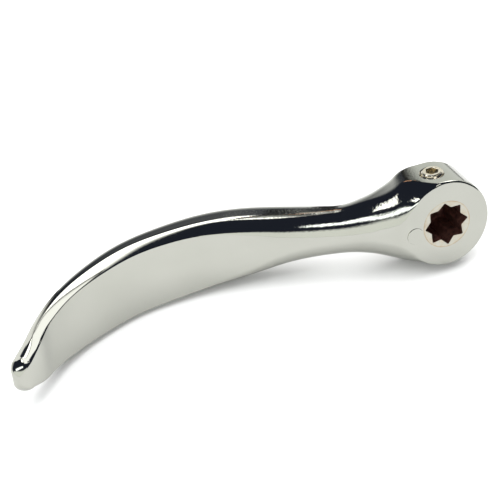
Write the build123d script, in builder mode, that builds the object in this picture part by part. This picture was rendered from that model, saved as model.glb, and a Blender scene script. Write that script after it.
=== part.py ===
"""Lever-type winch handle: a one-piece plated casting and its clamping set screw.

Millimetres, +Z up. The origin is the centre of the drive socket's mouth. The mount face is
the plane Y = 0 and looks along -Y, and the hub's body lies behind it, towards +Y. The lever
runs towards -X and is the same above and below the plane Z = 0.
"""
from build123d import *
import os
from math import radians, tan

# Hub
HUB_RADIUS = 12.7
HUB_DEPTH = 13.5
HUB_EDGE_RADIUS = 0.5
EJECTOR_MARK_RADIUS = 2.36
EJECTOR_MARK_X = -9.4
EJECTOR_MARK_Z = -0.7
EJECTOR_MARK_DEPTH = 0.2

# Drive socket: two squares, 45 degrees apart, for a 9 mm square shaft
SQUARE_ACROSS_FLATS = 9.1
SOCKET_DEPTH = 11.5
SOCKET_TIP_RADIUS = 0.35
COUNTERSINK_RADIUS = 6.95
COUNTERSINK_SLOPE = 12.0

# Set screw: 1/4-20 UNC with a cup point and a 1/8 in hexagon socket
SCREW_RADIUS = 3.12
SCREW_LENGTH = 6.35
SCREW_PITCH = 1.27
SCREW_STAND_OFF = 0.7
SCREW_HOLE_CLEARANCE = 0.07
SCREW_HOLE_COUNTERSINK = 0.35
SCREW_HOLE_OVERSHOOT = 1.0
SCREW_CHAMFER = 0.4
THREAD_DEPTH = 0.55
THREAD_TURNS = 4
THREAD_MARGIN = 0.1
GROOVE_SHARE_OF_PITCH = 0.9
HEX_ACROSS_FLATS = 3.175
HEX_DEPTH = 2.8
CUP_RADIUS = 1.7
CUP_POINT_RADIUS = 0.1
CUP_DEPTH = 0.7

# Lever: at each station, the place of its front surface in plan (x, y), the direction of its
# path in degrees behind the -X direction, its width along Z, its thickness behind the front
# surface, and the radii of its front and back corners
LEVER_STATIONS = [
    ((-4.0, 0.5), 0, 22.6, 12.6, 2.0, 2.0),
    ((-13.0, 0.9), 14, 21.0, 15.4, 5.8, 4.0),
    ((-23.0, 5.8), 25, 14.9, 14.5, 6.0, 6.0),
    ((-33.0, 10.1), 22, 13.1, 13.2, 5.6, 5.6),
    ((-44.0, 14.2), 18, 15.2, 13.9, 4.9, 5.2),
    ((-55.0, 17.3), 13, 18.5, 12.8, 3.6, 4.6),
    ((-66.0, 19.4), 4, 19.9, 11.1, 2.6, 4.0),
    ((-77.0, 19.1), -6, 19.9, 9.9, 2.0, 3.6),
    ((-88.0, 16.7), -18, 19.4, 8.6, 1.7, 3.2),
    ((-98.5, 12.2), -28, 18.5, 6.9, 1.4, 2.6),
    ((-107.5, 6.6), -39, 16.8, 5.4, 1.2, 2.1),
    ((-115.5, -1.8), -47, 12.6, 5.3, 1.3, 2.1),
    ((-123.2, -9.8), -46, 7.2, 5.6, 1.8, 2.2),
]
TIP_RADIUS = 1.6

SCREW_Y = HUB_DEPTH / 2
SCREW_TOP = HUB_RADIUS + SCREW_STAND_OFF
SCREW_BOTTOM = SCREW_TOP - SCREW_LENGTH
SCREW_HOLE_RADIUS = SCREW_RADIUS + SCREW_HOLE_CLEARANCE
SCREW_HOLE_BOTTOM = SQUARE_ACROSS_FLATS / 2 - SOCKET_TIP_RADIUS
GROOVE_HALF_WIDTH = SCREW_PITCH * GROOVE_SHARE_OF_PITCH / 2
COUNTERSINK_DEPTH = COUNTERSINK_RADIUS * tan(radians(COUNTERSINK_SLOPE))

os.makedirs("parts", exist_ok=True)


def section_sketch(x, y, turn, width, thickness, front_radius, back_radius):
    """Draws one cross-section of the lever on the plane that stands across its path.

    The sketch's x axis points up and its y axis towards the back.
    """
    along = Vector(-1, 0, 0).rotate(Axis.Z, -turn)
    with BuildSketch(Plane(origin=(x, y, 0), x_dir=(0, 0, 1), z_dir=along)) as sketch:
        with Locations((0, thickness / 2)):
            Rectangle(width, thickness)
        corners = sketch.vertices().group_by(Axis.Y)
        fillet(corners[0], front_radius)
        fillet(corners[-1], back_radius)
    return sketch.sketch


# Casting: lever, hub, drive socket and tapped hole in one piece
with BuildPart() as lever:
    with BuildSketch(Plane.XZ):
        Circle(HUB_RADIUS)
    extrude(amount=-HUB_DEPTH)
    fillet(lever.edges().filter_by(GeomType.CIRCLE), HUB_EDGE_RADIUS)
    loft(sections=[section_sketch(x, y, *sizes) for (x, y), *sizes in LEVER_STATIONS])
    tip_face = lever.faces().sort_by(Axis.X)[0]
    fillet(tip_face.edges(), TIP_RADIUS)

    # Drive socket, blind, with a shallow countersink at its mouth
    with BuildSketch(Plane.XZ) as double_square:
        Rectangle(SQUARE_ACROSS_FLATS, SQUARE_ACROSS_FLATS)
        Rectangle(SQUARE_ACROSS_FLATS, SQUARE_ACROSS_FLATS, rotation=45)
        tips = double_square.vertices().sort_by(SortBy.DISTANCE)[-8:]
        fillet(tips, SOCKET_TIP_RADIUS)
    extrude(amount=-SOCKET_DEPTH, mode=Mode.SUBTRACT)
    with BuildSketch(Plane.XY):
        with BuildLine():
            Polyline((0, 0), (COUNTERSINK_RADIUS, 0), (0, COUNTERSINK_DEPTH), close=True)
        make_face()
    revolve(axis=Axis.Y, mode=Mode.SUBTRACT)

    # Ejector pin's mark beside the socket
    with BuildSketch(Plane.XZ):
        with Locations((EJECTOR_MARK_X, EJECTOR_MARK_Z)):
            Circle(EJECTOR_MARK_RADIUS)
    extrude(amount=-EJECTOR_MARK_DEPTH, mode=Mode.SUBTRACT)

    # Hole for the set screw, from the rim into the socket, at right angles to the lever
    with BuildSketch(Plane.XY.offset(SCREW_HOLE_BOTTOM)):
        with Locations((0, SCREW_Y)):
            Circle(SCREW_HOLE_RADIUS)
    extrude(amount=HUB_RADIUS + SCREW_HOLE_OVERSHOOT - SCREW_HOLE_BOTTOM, mode=Mode.SUBTRACT)
    with Locations((0, SCREW_Y, HUB_RADIUS)):
        Cone(SCREW_HOLE_RADIUS, SCREW_HOLE_RADIUS + 2 * SCREW_HOLE_COUNTERSINK,
             2 * SCREW_HOLE_COUNTERSINK, mode=Mode.SUBTRACT)

lever.part.label = "lever"
export_step(lever.part, "parts/lever.step")

# Set screw, turned about its own upright axis through the middle of the hub's rim
with BuildPart() as set_screw:
    with BuildSketch(Plane.XY.offset(SCREW_BOTTOM)):
        with Locations((0, SCREW_Y)):
            Circle(SCREW_RADIUS)
    extrude(amount=SCREW_LENGTH)
    chamfer(set_screw.edges().filter_by(GeomType.CIRCLE), SCREW_CHAMFER)

    # Thread, as one V groove for each turn
    with BuildSketch(Plane.XZ.offset(-SCREW_Y)):
        for turn in range(THREAD_TURNS):
            height = SCREW_TOP - SCREW_CHAMFER - SCREW_PITCH * (turn + 0.5)
            with BuildLine():
                Polyline(
                    (SCREW_RADIUS - THREAD_DEPTH, height),
                    (SCREW_RADIUS + THREAD_MARGIN, height + GROOVE_HALF_WIDTH),
                    (SCREW_RADIUS + THREAD_MARGIN, height - GROOVE_HALF_WIDTH),
                    close=True,
                )
            make_face()
    revolve(axis=Axis((0, SCREW_Y, 0), (0, 0, 1)), mode=Mode.SUBTRACT)

    # Hexagon socket in the top and cup point in the bottom
    with BuildSketch(Plane.XY.offset(SCREW_TOP)):
        with Locations((0, SCREW_Y)):
            RegularPolygon(HEX_ACROSS_FLATS / 2, 6, major_radius=False)
    extrude(amount=-HEX_DEPTH, mode=Mode.SUBTRACT)
    with Locations((0, SCREW_Y, SCREW_BOTTOM + CUP_DEPTH / 2)):
        Cone(CUP_RADIUS, CUP_POINT_RADIUS, CUP_DEPTH, mode=Mode.SUBTRACT)

set_screw.part.label = "set_screw"
export_step(set_screw.part, "parts/set_screw.step")
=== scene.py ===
import math

import bmesh
import bpy
import numpy as np
from mathutils import Matrix, Vector


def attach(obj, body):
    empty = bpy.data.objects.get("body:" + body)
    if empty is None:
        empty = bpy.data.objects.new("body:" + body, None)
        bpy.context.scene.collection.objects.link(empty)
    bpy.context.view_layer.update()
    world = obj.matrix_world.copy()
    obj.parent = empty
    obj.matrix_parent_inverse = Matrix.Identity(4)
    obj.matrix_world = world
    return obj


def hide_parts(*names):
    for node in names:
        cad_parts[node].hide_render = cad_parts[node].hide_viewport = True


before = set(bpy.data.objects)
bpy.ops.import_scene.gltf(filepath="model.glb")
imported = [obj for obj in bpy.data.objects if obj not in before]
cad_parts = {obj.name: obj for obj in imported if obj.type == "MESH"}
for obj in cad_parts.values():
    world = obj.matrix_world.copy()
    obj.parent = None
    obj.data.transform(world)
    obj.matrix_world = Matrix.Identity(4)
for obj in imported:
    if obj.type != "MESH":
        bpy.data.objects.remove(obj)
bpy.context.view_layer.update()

MM = 0.001

# Hub, drive socket and the hole for the set screw, in millimetres
HUB_RADIUS = 12.7
HUB_DEPTH = 13.5
SQUARE_ACROSS_FLATS = 9.1
SOCKET_DEPTH = 11.5
SOCKET_TIP_RADIUS = 0.35
SOCKET_RIDGE_WIDTH = 0.3
COUNTERSINK_RADIUS = 6.95
COUNTERSINK_SLOPE = math.radians(12)
COUNTERSINK_DEPTH = COUNTERSINK_RADIUS * math.tan(COUNTERSINK_SLOPE)
SCREW_HOLE_RADIUS = 3.19
SCREW_HOLE_BOTTOM = 4.4
SCREW_HOLE_BEVEL = 0.7
SCREW_HOLE_BEVEL_DEPTH = 0.4

# The ejector pin's mark beside the socket, in millimetres, and its tilt in degrees
EJECTOR_MARK_X, EJECTOR_MARK_Z = -9.4, -0.7
EJECTOR_MARK_RADIUS = 2.36
EJECTOR_MARK_HEIGHT = 0.07
EJECTOR_MARK_BEVEL = 0.06
EJECTOR_MARK_ROOT = 1.0
EJECTOR_MARK_TILT = 1.8

# Set screw, in millimetres. The thread's flat root and its flanks are shares of the pitch
SCREW_RADIUS = 3.12
SCREW_TOP_RADIUS = 2.5
SCREW_LENGTH = 6.35
SCREW_PITCH = 1.27
THREAD_DEPTH = 0.6
SCREW_Y = HUB_DEPTH / 2
SCREW_STAND_OFF = 0.7
SCREW_TOP = HUB_RADIUS + SCREW_STAND_OFF
THREAD_ROOT_SHARE = 0.14
THREAD_FLANK_SHARE = 0.66
CHAMFER_SLOPE = 1.15
HEX_ACROSS_FLATS = 3.175
HEX_DEPTH = 2.6
HEX_BEVEL = 0.14
HEX_CONE_DEPTH = 0.6
CUP_RADIUS = 1.7
CUP_DEPTH = 0.7
AXIS_RADIUS = 0.05

# How far the cutting tools stick out past the surface that they cut, and the radius of the
# small flat that stands for the point of the countersink's cone
CUTTER_OVERSHOOT = 1.0
COUNTERSINK_OVERSHOOT = 0.6
COUNTERSINK_APEX_RADIUS = 0.02

# How finely the meshes are divided: the lever's sections along its path and round its tip,
# the points of a half section, the columns of the hub's rim and of the turned shapes, and
# the screw's columns and rows
PATH_SECTIONS = 420
TIP_SECTIONS = 25
SECTION_POINTS = (10, 10, 6, 12, 10)
RIM_COLUMNS = 96
LATHE_COLUMNS = 96
SCREW_COLUMNS, SCREW_ROWS = 120, 110

# Vertices closer than this, in metres, are one
MERGE_DISTANCE = 1e-7

# The smoothing along the path, in millimetres: at the hub's flanks and the tip, and on the
# paddle in between
SHARP_BLUR, SOFT_BLUR = 1.3, 5.0

# The places in x where the soft part starts and ends, and the lengths of the transitions
PADDLE_STARTS, PADDLE_ENDS = -24, -116
START_BLEND, END_BLEND = 12, 9

# How far the rounded tip reaches past the last station
TIP_LENGTH = 4.0

# The lever's stations from the hub's middle to the tip: x and y of the front surface,
# half width, thickness, the front corner's reach in Z, its reach in depth and its power
# (1 is a straight bevel, 2 is round), and the back corner's reach in Z and in depth
STATIONS = [
    (0.0, 0.0, 12.75, 13.5, 0.50, 0.5, 2.0, 0.8, 0.8),
    (-3.0, 0.0, 12.70, 14.1, 0.85, 2.4, 1.2, 1.0, 0.9),
    (-6.0, 0.0, 12.45, 14.5, 1.85, 6.1, 1.15, 1.6, 1.4),
    (-8.5, 0.0, 12.15, 14.8, 3.40, 7.4, 1.25, 2.4, 2.2),
    (-10.5, 0.0, 11.80, 15.4, 5.50, 7.9, 1.45, 3.3, 3.0),
    (-12.2, 0.1, 11.20, 16.0, 7.10, 8.3, 1.60, 4.2, 3.8),
    (-14.5, 1.1, 10.25, 16.8, 7.80, 8.0, 1.70, 5.2, 4.8),
    (-17.0, 2.6, 9.25, 16.9, 7.90, 7.3, 1.75, 6.2, 6.0),
    (-21.0, 4.9, 7.95, 15.2, 7.40, 7.0, 1.75, 7.2, 7.2),
    (-29.0, 8.4, 6.35, 12.7, 6.20, 6.3, 2.0, 6.2, 6.3),
    (-40.0, 12.9, 6.80, 14.5, 5.60, 5.8, 2.0, 5.8, 5.8),
    (-52.0, 16.5, 9.15, 13.3, 3.40, 4.6, 1.7, 5.6, 5.0),
    (-65.0, 19.4, 10.05, 11.3, 1.60, 4.0, 1.3, 5.4, 4.2),
    (-79.0, 19.2, 10.10, 9.8, 1.20, 3.9, 1.2, 5.0, 3.6),
    (-93.0, 14.8, 9.75, 7.9, 1.10, 3.5, 1.2, 4.4, 3.0),
    (-105.0, 8.5, 9.05, 5.8, 1.00, 2.8, 1.2, 3.4, 2.2),
    (-112.0, 2.4, 7.70, 4.8, 1.00, 2.6, 1.3, 2.4, 1.8),
    (-116.5, -3.3, 6.45, 5.0, 1.20, 2.7, 1.5, 2.4, 1.9),
    (-120.5, -7.2, 4.75, 5.4, 1.60, 2.9, 1.8, 2.4, 2.3),
]


def smooth_table(rows, count, blur):
    """Resamples the rows evenly along their path in plan and rounds off their bends."""
    table = np.array(rows, dtype=float)
    steps = np.hypot(np.diff(table[:, 0]), np.diff(table[:, 1]))
    place = np.concatenate([[0.0], np.cumsum(steps)])
    slope = np.diff(table, axis=0) / steps[:, None]
    # Monotone slopes at the stations, so that flat stretches stay flat
    tangent = np.zeros_like(table)
    same = slope[:-1] * slope[1:] > 0
    pair = np.where(same, slope[:-1] + slope[1:], 1.0)
    tangent[1:-1] = np.where(same, 2 * slope[:-1] * slope[1:] / pair, 0.0)
    tangent[0, 0] = slope[0, 0]
    tangent[-1] = slope[-1]
    at = np.linspace(0.0, place[-1], count)
    i = np.clip(np.searchsorted(place, at, side="right") - 1, 0, len(steps) - 1)
    h = steps[i][:, None]
    u = ((at - place[i]) / steps[i])[:, None]
    fine = (
        (1 + 2 * u) * (1 - u) ** 2 * table[i]
        + u * (1 - u) ** 2 * h * tangent[i]
        + u**2 * (3 - 2 * u) * table[i + 1]
        - u**2 * (1 - u) * h * tangent[i + 1]
    )
    reach = int(3 * blur / (at[1] - at[0]))
    weights = np.exp(-0.5 * (np.arange(-reach, reach + 1) / (reach / 3)) ** 2)
    weights /= weights.sum()
    # The first end mirrors the hub and the last end runs straight on
    before = fine[reach:0:-1].copy()
    before[:, 0] = 2 * fine[0, 0] - before[:, 0]
    after = 2 * fine[-1] - fine[-2 : -reach - 2 : -1]
    padded = np.concatenate([before, fine, after])
    blurred = [np.convolve(column, weights, mode="valid") for column in padded.T]
    return np.array(blurred).T


def half_section(row):
    """The upper half of a section, from the front's middle over the top to the back's
    middle, as depth behind the front surface and height."""
    half, thick, fz, fy, power, bz, by = row
    front, corner, wall, back_corner, back = SECTION_POINTS
    points = []
    for u in np.linspace(0, 1, front, endpoint=False):
        points.append((0.0, u * (half - fz)))
    for a in np.linspace(0, math.pi / 2, corner, endpoint=False):
        out = math.sin(a) ** (2 / power)
        down = 1 - math.cos(a) ** (2 / power)
        points.append((fy * down, half - fz + fz * out))
    for u in np.linspace(0, 1, wall, endpoint=False):
        points.append((fy + u * (thick - fy - by), half))
    for a in np.linspace(0, math.pi / 2, back_corner, endpoint=False):
        points.append((thick - by + by * math.sin(a), half - bz + bz * math.cos(a)))
    for u in np.linspace(0, 1, back):
        points.append((thick, (1 - u) * (half - bz)))
    return np.array(points)


def lever_rings():
    """The sections of the lever in space: an array of stations by half-section points."""
    sharp, soft = (smooth_table(STATIONS, PATH_SECTIONS, blur) for blur in (SHARP_BLUR, SOFT_BLUR))
    # The paddle is smoother than the hub's flanks and the tip
    x = sharp[:, :1]
    share = np.clip((PADDLE_STARTS - x) / START_BLEND, 0, 1)
    share = share * np.clip((x - PADDLE_ENDS) / END_BLEND, 0, 1)
    rows = sharp + (soft - sharp) * share * share * (3 - 2 * share)
    path = rows[:, :2]
    # The sections turn more gently than the path, so that they never cross at the back
    along = np.gradient(soft[:, :2], axis=0)
    along[0] = (-1.0, 0.0)
    along /= np.linalg.norm(along, axis=1)[:, None]
    back = np.stack([along[:, 1], -along[:, 0]], axis=1)
    rings = []
    for place, normal, row in zip(path, back, rows):
        section = half_section(row[2:])
        plan = place + section[:, :1] * normal
        rings.append(np.column_stack([plan, section[:, 1]]))
    # Rounded tip: the last section shrinks along a quarter of an ellipse
    last, thick = rows[-1], rows[-1][3]
    for step in np.sin(np.linspace(0, math.pi / 2, TIP_SECTIONS)[1:-1]):
        share = math.sqrt(1 - step**2)
        section = half_section(last[2:]) * share
        section[:, 0] += thick * (1 - share) / 2
        plan = path[-1] + along[-1] * TIP_LENGTH * step + section[:, :1] * back[-1]
        rings.append(np.column_stack([plan, section[:, 1]]))
    return np.array(rings)


def mesh_object(name, vertices, faces, smooth=True):
    mesh = bpy.data.meshes.new(name)
    mesh.from_pydata([tuple(v) for v in vertices], [], faces)
    mesh.validate()
    if smooth:
        mesh.shade_smooth()
    obj = bpy.data.objects.new(name, mesh)
    bpy.context.scene.collection.objects.link(obj)
    return obj


def lever_body():
    """The casting without its holes: the lever's skin, the hub's rim and its two faces."""
    rings = lever_rings()
    count, half, _ = rings.shape
    loop = np.concatenate([rings, (rings * (1, 1, -1))[:, -2:0:-1]], axis=1)
    around = loop.shape[1]
    vertices = list((loop.reshape(-1, 3)) * MM)
    faces = []
    for i in range(count - 1):
        for j in range(around):
            k = (j + 1) % around
            this, after = i * around, (i + 1) * around
            faces.append((this + j, this + k, after + k, after + j))
    # Tip's closing face
    faces.append(tuple((count - 1) * around + j for j in range(around)))
    # Rim of the hub's far half, from the top of the first section round to its bottom
    flat = SECTION_POINTS[0]
    back_flat = SECTION_POINTS[-1] - 1
    wall = range(flat, half - back_flat)
    grid = []
    for k in range(RIM_COLUMNS + 1):
        angle = math.pi / 2 - math.pi * k / RIM_COLUMNS
        line = []
        for j in wall:
            depth, radius = rings[0, j, 1], rings[0, j, 2]
            if k == 0:
                line.append(j)
            elif k == RIM_COLUMNS:
                line.append(around - j)
            else:
                line.append(len(vertices))
                place = np.array([radius * math.cos(angle), depth, radius * math.sin(angle)])
                vertices.append(place * MM)
        grid.append(line)
    for one, two in zip(grid, grid[1:]):
        for j in range(len(one) - 1):
            faces.append((one[j], two[j], two[j + 1], one[j + 1]))
    front = [line[0] for line in grid]
    front += [around - j for j in range(flat - 1, 0, -1)] + list(range(flat))
    faces.append(tuple(front))
    back = [line[-1] for line in grid]
    back += [around - j for j in range(half - back_flat, half - 1)]
    back += list(range(half - 1, half - back_flat - 1, -1))
    faces.append(tuple(dict.fromkeys(back)))
    obj = mesh_object("lever_casting", vertices, faces)
    tidy(obj)
    return obj


def lathe(name, profile, columns=LATHE_COLUMNS):
    """A closed solid turned about +Z from a profile of (radius, height), in millimetres.
    A radius may be a function of the angle and the height."""
    turns = np.linspace(0, 2 * math.pi, columns, endpoint=False)
    vertices, faces = [], []
    for radius, height in profile:
        for angle in turns:
            r = radius(angle, height) if callable(radius) else radius
            vertices.append(np.array([r * math.cos(angle), r * math.sin(angle), height]) * MM)
    for i in range(len(profile) - 1):
        for j in range(columns):
            k = (j + 1) % columns
            this, after = i * columns, (i + 1) * columns
            faces.append((this + j, this + k, after + k, after + j))
    faces.append(tuple(range(columns))[::-1])
    last = (len(profile) - 1) * columns
    faces.append(tuple(range(last, last + columns)))
    return mesh_object(name, vertices, faces)


def double_square(name):
    """The drive socket's eight-pointed prism, along +Y from just outside the mount face."""
    flat = SQUARE_ACROSS_FLATS / 2
    centre = (flat - SOCKET_TIP_RADIUS) * math.sqrt(2)
    valley = flat / math.cos(math.radians(22.5))
    outline = []
    for point in range(8):
        middle = math.radians(45 * point)
        for bend in np.radians(np.linspace(-45, 45, 7)):
            outline.append(
                (
                    centre * math.cos(middle) + SOCKET_TIP_RADIUS * math.cos(middle + bend),
                    centre * math.sin(middle) + SOCKET_TIP_RADIUS * math.sin(middle + bend),
                )
            )
        # The ridge between two points has its edge broken
        side = middle + math.radians(22.5)
        for across in (-0.5, 0.5):
            sideways = across * SOCKET_RIDGE_WIDTH
            outline.append(
                (
                    valley * math.cos(side) - sideways * math.sin(side),
                    valley * math.sin(side) + sideways * math.cos(side),
                )
            )
    count = len(outline)
    ends = (-CUTTER_OVERSHOOT, SOCKET_DEPTH)
    vertices = [np.array([x, y, z]) * MM for y in ends for x, z in outline]
    faces = [(j, (j + 1) % count, count + (j + 1) % count, count + j) for j in range(count)]
    faces += [tuple(range(count))[::-1], tuple(range(count, 2 * count))]
    obj = mesh_object(name, vertices, faces, smooth=False)
    tidy(obj)
    return obj


def tidy(obj):
    """Merges double vertices and turns every face outwards."""
    bm = bmesh.new()
    bm.from_mesh(obj.data)
    bmesh.ops.remove_doubles(bm, verts=bm.verts, dist=MERGE_DISTANCE)
    bmesh.ops.recalc_face_normals(bm, faces=bm.faces)
    bm.to_mesh(obj.data)
    bm.free()


def apply_modifiers(obj):
    graph = bpy.context.evaluated_depsgraph_get()
    mesh = bpy.data.meshes.new_from_object(obj.evaluated_get(graph), depsgraph=graph)
    obj.modifiers.clear()
    obj.data = mesh


def combine(obj, tool, material, operation="DIFFERENCE"):
    """Cuts the closed tool out of obj, or adds it, and gives its faces the material."""
    tool.data.materials.append(material)
    boolean = obj.modifiers.new("cut", "BOOLEAN")
    boolean.operation = operation
    boolean.solver = "EXACT"
    boolean.material_mode = "TRANSFER"
    boolean.object = tool
    apply_modifiers(obj)
    bpy.data.objects.remove(tool)


def sharpen(obj, degrees=32):
    """Smooth shading with crisp corners, and flat faces that stay flat up to their edges."""
    obj.data.shade_smooth()
    obj.data.set_sharp_from_angle(angle=math.radians(degrees))
    weighted = obj.modifiers.new("flat_faces", "WEIGHTED_NORMAL")
    weighted.keep_sharp = True
    weighted.weight = 80
    apply_modifiers(obj)


# Materials ---------------------------------------------------------------------------


class Nodes:
    """A short way to write a node material."""

    def __init__(self, name):
        self.material = bpy.data.materials.new(name)
        self.material.use_nodes = True
        self.tree = self.material.node_tree
        self.shader = self.tree.nodes["Principled BSDF"]

    def add(self, kind, **settings):
        node = self.tree.nodes.new(kind)
        for key, value in settings.items():
            if hasattr(node, key):
                setattr(node, key, value)
            else:
                node.inputs[key.replace("_", " ").title()].default_value = value
        return node

    def link(self, start, end):
        self.tree.links.new(start, end)

    def noise(self, place, scale, detail=3.0, roughness=0.5):
        node = self.add("ShaderNodeTexNoise", Scale=scale, Detail=detail, Roughness=roughness)
        self.link(place, node.inputs["Vector"])
        return node.outputs["Fac"]

    def ramp(self, value, *stops):
        node = self.add("ShaderNodeValToRGB")
        elements = node.color_ramp.elements
        while len(elements) < len(stops):
            elements.new(0.5)
        for element, (position, colour) in zip(elements, stops):
            element.position = position
            element.color = (*colour, 1) if len(colour) == 3 else (colour[0],) * 3 + (1,)
        self.link(value, node.inputs["Fac"])
        return node.outputs["Color"]

    def math(self, operation, *values):
        node = self.add("ShaderNodeMath", operation=operation)
        for socket, value in zip(node.inputs, values):
            if isinstance(value, bpy.types.NodeSocket):
                self.link(value, socket)
            else:
                socket.default_value = value
        return node.outputs["Value"]

    def smooth(self, value, start, end):
        node = self.add("ShaderNodeMapRange", interpolation_type="SMOOTHSTEP")
        self.link(value, node.inputs["Value"])
        node.inputs["From Min"].default_value = start
        node.inputs["From Max"].default_value = end
        return node.outputs["Result"]

    def coordinate(self, place, axis):
        node = self.add("ShaderNodeSeparateXYZ")
        self.link(place, node.inputs["Vector"])
        return node.outputs[axis]

    def bump(self, layers):
        """Bumps in a chain, each of them (height, strength, distance in metres)."""
        normal = None
        for height, strength, distance in layers:
            node = self.add("ShaderNodeBump", Strength=strength, Distance=distance)
            self.link(height, node.inputs["Height"])
            if normal:
                self.link(normal, node.inputs["Normal"])
            normal = node.outputs["Normal"]
        self.link(normal, self.shader.inputs["Normal"])


class Sky(Nodes):
    """The same short way, for a world whose colour goes by direction."""

    def __init__(self, world):
        world.use_nodes = True
        self.tree = world.node_tree
        self.background = self.tree.nodes["Background"]
        self.direction = self.add("ShaderNodeTexCoord").outputs["Generated"]

    def vector_math(self, operation, one, two):
        node = self.add("ShaderNodeVectorMath", operation=operation)
        for socket, value in zip(node.inputs, (one, two)):
            if isinstance(value, bpy.types.NodeSocket):
                self.link(value, socket)
            else:
                socket.default_value = tuple(value)
        return node.outputs["Value" if operation == "DOT_PRODUCT" else "Vector"]

    def dot(self, axis):
        return self.vector_math("DOT_PRODUCT", self.direction, axis)

    def scaled(self, mask, colour):
        node = self.add("ShaderNodeVectorMath", operation="SCALE")
        node.inputs["Vector"].default_value = colour
        self.link(mask, node.inputs["Scale"])
        return node.outputs["Vector"]


def chrome_material():
    """Bright plating over a polished casting: a faint haze, waves, and an orange peel that
    fades out from the neck to the paddle."""
    m = Nodes("polished_chrome")
    place = m.add("ShaderNodeTexCoord").outputs["Object"]
    m.shader.inputs["Metallic"].default_value = 1.0
    cloud = m.noise(place, 60.0, 4.0)
    colour = m.ramp(cloud, (0.3, (0.520, 0.525, 0.472)), (0.7, (0.550, 0.553, 0.502)))
    m.link(colour, m.shader.inputs["Base Color"])
    haze = m.noise(place, 900.0, 3.0)
    m.link(m.ramp(haze, (0.35, (0.04,)), (0.75, (0.085,))), m.shader.inputs["Roughness"])
    waves = m.noise(place, 190.0, 2.0)
    peel = m.noise(place, 1500.0, 2.0, 0.6)
    near_hub = m.smooth(m.coordinate(place, "X"), -0.075, -0.025)
    rough_peel = m.math("MULTIPLY", peel, m.math("MULTIPLY_ADD", near_hub, 0.95, 0.05))
    m.bump([(waves, 0.12, 0.00006), (rough_peel, 0.6, 0.00004)])
    return m.material


def nickel_material(name="warm_nickel"):
    """Bright nickel with a golden tint, on the set screw and in its hole."""
    m = Nodes(name)
    place = m.add("ShaderNodeTexCoord").outputs["Object"]
    m.shader.inputs["Metallic"].default_value = 1.0
    cloud = m.noise(place, 500.0, 3.0)
    colour = m.ramp(cloud, (0.3, (0.72, 0.65, 0.50)), (0.7, (0.86, 0.81, 0.70)))
    m.link(colour, m.shader.inputs["Base Color"])
    m.link(m.ramp(cloud, (0.3, (0.13,)), (0.7, (0.24,))), m.shader.inputs["Roughness"])
    m.bump([(m.noise(place, 2500.0, 2.0), 0.35, 0.00001)])
    return m.material


def countersink_material():
    """Thin plating at the mouth: chrome with warm streaks and a golden line round the rim."""
    m = Nodes("countersink_plating")
    place = m.add("ShaderNodeTexCoord").outputs["Object"]
    m.shader.inputs["Metallic"].default_value = 1.0
    squares = [m.math("POWER", m.coordinate(place, axis), 2.0) for axis in "XZ"]
    radius = m.math("SQRT", m.math("ADD", *squares))
    rim = m.smooth(radius, 0.93 * COUNTERSINK_RADIUS * MM, COUNTERSINK_RADIUS * MM)
    streaks = m.noise(place, 420.0, 4.0, 0.65)
    warmth = m.math("MULTIPLY_ADD", rim, 0.30, streaks)
    colour = m.ramp(
        warmth, (0.40, (0.57, 0.56, 0.49)), (0.62, (0.56, 0.51, 0.41)), (0.85, (0.46, 0.37, 0.26))
    )
    m.link(colour, m.shader.inputs["Base Color"])
    m.link(m.ramp(streaks, (0.3, (0.12,)), (0.7, (0.24,))), m.shader.inputs["Roughness"])
    m.bump([(streaks, 0.3, 0.00005)])
    return m.material


def bare_socket_material():
    """The unplated inside of the socket: dark, coppery and rough."""
    m = Nodes("coppery_socket")
    place = m.add("ShaderNodeTexCoord").outputs["Object"]
    m.shader.inputs["Metallic"].default_value = 0.75
    cloud = m.noise(place, 700.0, 4.0, 0.6)
    colour = m.ramp(cloud, (0.3, (0.045, 0.016, 0.013)), (0.75, (0.22, 0.10, 0.08)))
    m.link(colour, m.shader.inputs["Base Color"])
    m.link(m.ramp(cloud, (0.3, (0.32,)), (0.7, (0.5,))), m.shader.inputs["Roughness"])
    m.bump([(cloud, 0.5, 0.00004)])
    return m.material


# Pieces ------------------------------------------------------------------------------


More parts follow.
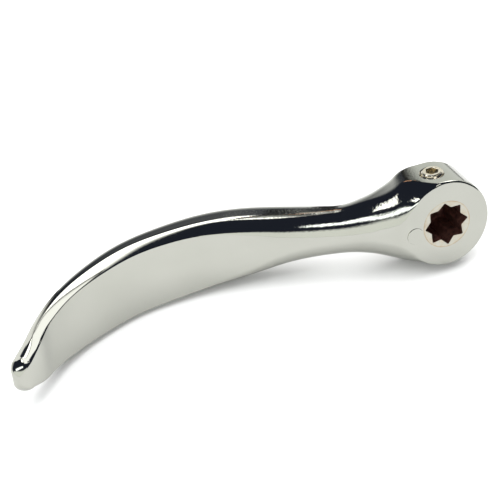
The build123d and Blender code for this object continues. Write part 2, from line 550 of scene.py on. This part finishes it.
def lever():
    body = lever_body()
    body.data.materials.append(chrome_material())
    socket = bare_socket_material()
    toward_hub = Matrix.Rotation(math.radians(-90), 4, "X")

    mouth = COUNTERSINK_RADIUS + COUNTERSINK_OVERSHOOT * COUNTERSINK_RADIUS / COUNTERSINK_DEPTH
    cone = [(mouth, -COUNTERSINK_OVERSHOOT), (COUNTERSINK_APEX_RADIUS, COUNTERSINK_DEPTH)]
    sink = lathe("countersink", cone)
    sink.data.transform(toward_hub)
    combine(body, sink, countersink_material())
    combine(body, double_square("star"), socket)
    mark = lathe(
        "ejector_mark",
        [
            (EJECTOR_MARK_RADIUS - EJECTOR_MARK_BEVEL, -EJECTOR_MARK_HEIGHT),
            (EJECTOR_MARK_RADIUS, EJECTOR_MARK_BEVEL - EJECTOR_MARK_HEIGHT),
            (EJECTOR_MARK_RADIUS, EJECTOR_MARK_ROOT),
        ],
    )
    # The pin's end was a little askew, so its disc is flush with the face at the lower right
    askew = Matrix.Rotation(math.radians(EJECTOR_MARK_TILT), 4, (1, 0, 1))
    middle = Matrix.Translation((EJECTOR_MARK_X * MM, 0, EJECTOR_MARK_Z * MM))
    mark.data.transform(middle @ askew @ toward_hub)
    combine(body, mark, body.data.materials[0], "UNION")
    bevel_start = HUB_RADIUS - SCREW_HOLE_BEVEL_DEPTH
    bevel_radius = SCREW_HOLE_RADIUS + SCREW_HOLE_BEVEL
    hole = lathe(
        "tapped_hole",
        [
            (SCREW_HOLE_RADIUS, SCREW_HOLE_BOTTOM),
            (SCREW_HOLE_RADIUS, bevel_start),
            (bevel_radius, bevel_start + SCREW_HOLE_BEVEL),
            (bevel_radius, HUB_RADIUS + 3 * CUTTER_OVERSHOOT),
        ],
    )
    hole.data.transform(Matrix.Translation((0, SCREW_Y * MM, 0)))
    combine(body, hole, nickel_material())
    tidy(body)
    sharpen(body)
    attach(body, "lever")
    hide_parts("lever")
    return body


def set_screw():
    """The grub screw: a real helical thread, a hexagon socket and a cup point."""
    top, bottom = SCREW_TOP, SCREW_TOP - SCREW_LENGTH

    def thread(angle, height):
        phase = (height / SCREW_PITCH - angle / (2 * math.pi)) % 1.0
        from_root = abs(phase - 0.5) * 2 - THREAD_ROOT_SHARE
        rise = min(max(from_root / THREAD_FLANK_SHARE, 0.0), 1.0)
        ridge = SCREW_RADIUS - THREAD_DEPTH * (1 - rise)
        chamfer = SCREW_TOP_RADIUS + min(top - height, height - bottom) * CHAMFER_SLOPE
        return min(ridge, chamfer)

    def hexagon(grow):
        def radius(angle, height):
            side = (angle % math.radians(60)) - math.radians(30)
            return (HEX_ACROSS_FLATS / 2 + grow) / math.cos(side)
        return radius

    profile = [(AXIS_RADIUS, bottom + CUP_DEPTH), (CUP_RADIUS, bottom)]
    profile += [(thread, z) for z in np.linspace(bottom, top, SCREW_ROWS)]
    profile += [
        (hexagon(HEX_BEVEL), top),
        (hexagon(0.0), top - HEX_BEVEL),
        (hexagon(0.0), top - HEX_DEPTH),
        (AXIS_RADIUS, top - HEX_DEPTH - HEX_CONE_DEPTH),
    ]
    screw = lathe("grub_screw", profile, SCREW_COLUMNS)
    screw.data.transform(Matrix.Translation((0, SCREW_Y * MM, 0)))
    tidy(screw)
    screw.data.materials.append(nickel_material("nickel_steel"))
    sharpen(screw, 38)
    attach(screw, "set_screw")
    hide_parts("set_screw")


# Studio ------------------------------------------------------------------------------

# The studio's soft boxes: the direction of the middle, the direction of the first side,
# half of each side and the edge's blur as tangents, and the radiance
SKY_PANELS = [
    ((0.50, 0.48, 0.72), (0.7, -0.7, 0), 0.31, 0.22, 0.08, (4.2, 4.2, 4.1)),
    ((-0.53, -0.44, 0.73), (-0.85, 0.30, -0.43), 0.50, 0.10, 0.06, (2.6, 2.7, 2.7)),
    ((-0.40, -0.85, 0.15), (0.85, -0.4, 0), 3.0, 0.38, 0.12, (1.1, 1.12, 1.06)),
]

# The share of a card's size over which its edges fade out
CARD_EDGE = 0.1

# Cards close to the handle, in millimetres: the middle, the directions of the width and the
# height, the two sizes, the radiance, and, where it isn't the card's edge, the shares of the
# width over which it fades in
CARDS = {
    "back_card": (
        (216, 120, 95), (1, 0, 0), (0, 0, 1), (408, 210), (0.82, 0.84, 0.81), (0.005, 0.08)
    ),
    "flank_card": ((-99, 30, 132), (-0.28, -0.96, 0), (1, 0, 0), (72, 29), (3.4, 3.4, 3.3)),
    "warm_card": ((10, 120, 105), (1, 0, 0), (0, 0, 1), (18, 5), (2.4, 1.3, 0.8)),
    "tip_card": (
        (-132, 50, 45), (-1, 0, 0), (0, 0, 1), (54, 100), (1.25, 1.25, 1.24), (0.0, 0.26)
    ),
    "bevel_card": ((-90, 6, 59), (1, 0, 0), (0, 1, 0), (40, 60), (1.7, 1.7, 1.7)),
    "edge_card": ((8, -10, 95), (1, 0, 0), (0, 1, 0), (24, 24), (1.5, 1.5, 1.45)),
}

# The pale backdrop: the direction of its middle, the cosines of the angles from there at
# which its sides fade out, the sine of its top's elevation, and its radiance
BACKDROP_MIDDLE = Vector((-0.15, 1, 0)).normalized()
BACKDROP_SIDES = (0.55, 0.9)
BACKDROP_TOP = 0.64
BACKDROP_RADIANCE = (0.90, 0.91, 0.90)

# The radiance of the dim room between the lights
DIM_ROOM = (0.020, 0.024, 0.038, 1)

# The table's slope under the handle, as its upward direction's x and y, its size, the gap
# that it leaves under the handle, and how far the reflected table lies above the seen one
DROOP = 0.037
LEAN_BACK = -0.09
TABLE_SIZE = 6.0
TABLE_GAP = 0.00003
TABLE_LIFT = 0.00001

# The point that the soft boxes face
AIM = Vector((-0.05, 0.01, 0))


def upright():
    """The table's upward direction: the handle rests on its hub's rim and its paddle."""
    return Vector((DROOP, LEAN_BACK, 1)).normalized()


def floor(body):
    """A plain pale table under the lowest points of the handle. The camera sees a bright
    one, and the plating reflects a dimmer one, so that neither is burnt out."""
    up = upright()
    lowest = min(up.dot(v.co) for v in body.data.vertices)
    turn = up.to_track_quat("Z", "Y").to_matrix().to_4x4()
    for name, albedo, lift in (("table", 0.88, 0.0), ("reflected_table", 0.60, TABLE_LIFT)):
        bpy.ops.mesh.primitive_grid_add(x_subdivisions=2, y_subdivisions=2, size=TABLE_SIZE)
        plane = bpy.context.object
        plane.name = name
        plane.matrix_world = Matrix.Translation(up * (lowest - TABLE_GAP + lift)) @ turn
        m = Nodes("pale_" + name)
        place = m.add("ShaderNodeTexCoord").outputs["Object"]
        tones = m.ramp(m.noise(place, 40.0), (0.3, (albedo - 0.01,)), (0.7, (albedo + 0.01,)))
        m.link(tones, m.shader.inputs["Base Color"])
        m.shader.inputs["Roughness"].default_value = 0.9
        m.shader.inputs["Specular IOR Level"].default_value = 0.0
        plane.data.materials.append(m.material)
        plane.visible_glossy = lift > 0
        plane.visible_camera = plane.visible_diffuse = plane.visible_shadow = lift == 0


def soft_box(name, direction, distance, size, strength):
    """An area light that faces the handle and isn't seen in its reflections. Its strength is
    the brightness of its surface."""
    data = bpy.data.lights.new(name, "AREA")
    data.shape = "RECTANGLE"
    data.size, data.size_y = size
    data.energy = strength * size[0] * size[1] * math.pi
    obj = bpy.data.objects.new(name, data)
    back = Vector(direction).normalized()
    place = back * distance + AIM
    obj.matrix_world = Matrix.Translation(place) @ back.to_track_quat("Z", "Y").to_matrix().to_4x4()
    obj.visible_glossy = False
    bpy.context.scene.collection.objects.link(obj)


def sky_panel(sky, towards, side, half_width, half_height, edge, radiance):
    """A soft-edged rectangle in the sky: a colour by direction. Sizes are tangents of angles."""
    forward = Vector(towards).normalized()
    up = Vector(side).cross(forward).normalized()
    right = forward.cross(up)
    ahead = sky.dot(forward)
    mask = sky.smooth(ahead, 0.0, 0.05)
    for axis, half in ((right, half_width), (up, half_height)):
        slant = sky.math("DIVIDE", sky.dot(axis), sky.math("MAXIMUM", ahead, 0.01))
        slant = sky.math("ABSOLUTE", slant)
        mask = sky.math("MULTIPLY", mask, sky.smooth(slant, half + edge, half - edge))
    return sky.scaled(mask, radiance)


def card(name, middle, side, up, size, radiance, fade_in=(0.0, CARD_EDGE)):
    """A glowing card near the handle, in millimetres, seen only in its reflections. Its
    width lies along side, and its edges are soft. It lights up across the shares of its
    width that fade_in gives."""
    bpy.ops.mesh.primitive_grid_add(x_subdivisions=2, y_subdivisions=2, size=1.0)
    obj = bpy.context.object
    obj.name = name
    right = Vector(side).normalized()
    facing = right.cross(Vector(up)).normalized()
    turn = Matrix((right, facing.cross(right), facing)).transposed().to_4x4()
    scale = Matrix.Diagonal((size[0] * MM, size[1] * MM, 1, 1))
    obj.matrix_world = Matrix.Translation(Vector(middle) * MM) @ turn @ scale
    m = Nodes(name + "_glow")
    m.shader.inputs["Base Color"].default_value = (0, 0, 0, 1)
    m.shader.inputs["Emission Color"].default_value = (*radiance, 1)
    place = m.add("ShaderNodeTexCoord").outputs["Generated"]
    across, along = (m.coordinate(place, axis) for axis in "XY")
    glow = m.math("MULTIPLY", m.smooth(across, *fade_in), m.smooth(across, 1.0, 1.0 - CARD_EDGE))
    for start, end in ((0.0, CARD_EDGE), (1.0, 1.0 - CARD_EDGE)):
        glow = m.math("MULTIPLY", glow, m.smooth(along, start, end))
    m.link(glow, m.shader.inputs["Emission Strength"])
    obj.data.materials.append(m.material)
    obj.visible_camera = obj.visible_diffuse = obj.visible_shadow = False


def lights():
    world = bpy.data.worlds.new("studio")
    bpy.context.scene.world = world
    sky = Sky(world)
    dim = sky.add("ShaderNodeRGB")
    dim.outputs[0].default_value = DIM_ROOM
    layers = [dim.outputs[0]]
    for panel in SKY_PANELS:
        layers.append(sky_panel(sky, *panel))
    # The backdrop glows from the table up, and fades out towards its top and its sides
    behind = sky.smooth(sky.dot(BACKDROP_MIDDLE), *BACKDROP_SIDES)
    glow = sky.math("MULTIPLY", behind, sky.smooth(sky.dot((0, 0, 1)), BACKDROP_TOP, 0.0))
    layers.append(sky.scaled(glow, BACKDROP_RADIANCE))
    total = layers[0]
    for layer in layers[1:]:
        total = sky.vector_math("ADD", total, layer)
    sky.link(total, sky.background.inputs["Color"])
    for name, settings in CARDS.items():
        card(name, *settings)
    soft_box("overhead", (0.0, 0.05, 1.0), 1.2, (2.0, 2.0), 2.9)
    soft_box("front_fill", (-0.2, -1.0, 0.55), 1.4, (2.6, 1.2), 1.1)


def camera():
    """A long lens looks down on the handle from its left front. The hub sits right of the
    middle of the view. Sizes are millimetres."""
    azimuth, elevation, roll = (math.radians(a) for a in (-18.4, 30.92, -7.98))
    distance = 600.0
    view_width = 134.9
    right_of_middle, above_middle = 53.1, 7.0
    back = Vector((
        math.sin(azimuth) * math.cos(elevation),
        -math.cos(azimuth) * math.cos(elevation),
        math.sin(elevation),
    ))
    level = Vector((math.cos(azimuth), math.sin(azimuth), 0))
    above = back.cross(level)
    right = level * math.cos(roll) + above * math.sin(roll)
    up = above * math.cos(roll) - level * math.sin(roll)
    place = back * distance - right * right_of_middle - up * above_middle
    data = bpy.data.cameras.new("camera")
    data.lens = data.sensor_width * distance / view_width
    data.clip_start, data.clip_end = 0.01, 20
    obj = bpy.data.objects.new("camera", data)
    turn = Matrix((right, up, back)).transposed().to_4x4()
    obj.matrix_world = Matrix.Translation(place * MM) @ turn
    bpy.context.scene.collection.objects.link(obj)
    bpy.context.scene.camera = obj


def main():
    casting = lever()
    set_screw()
    camera()
    floor(casting)
    lights()
    bpy.context.scene.view_settings.view_transform = "Standard"


main()
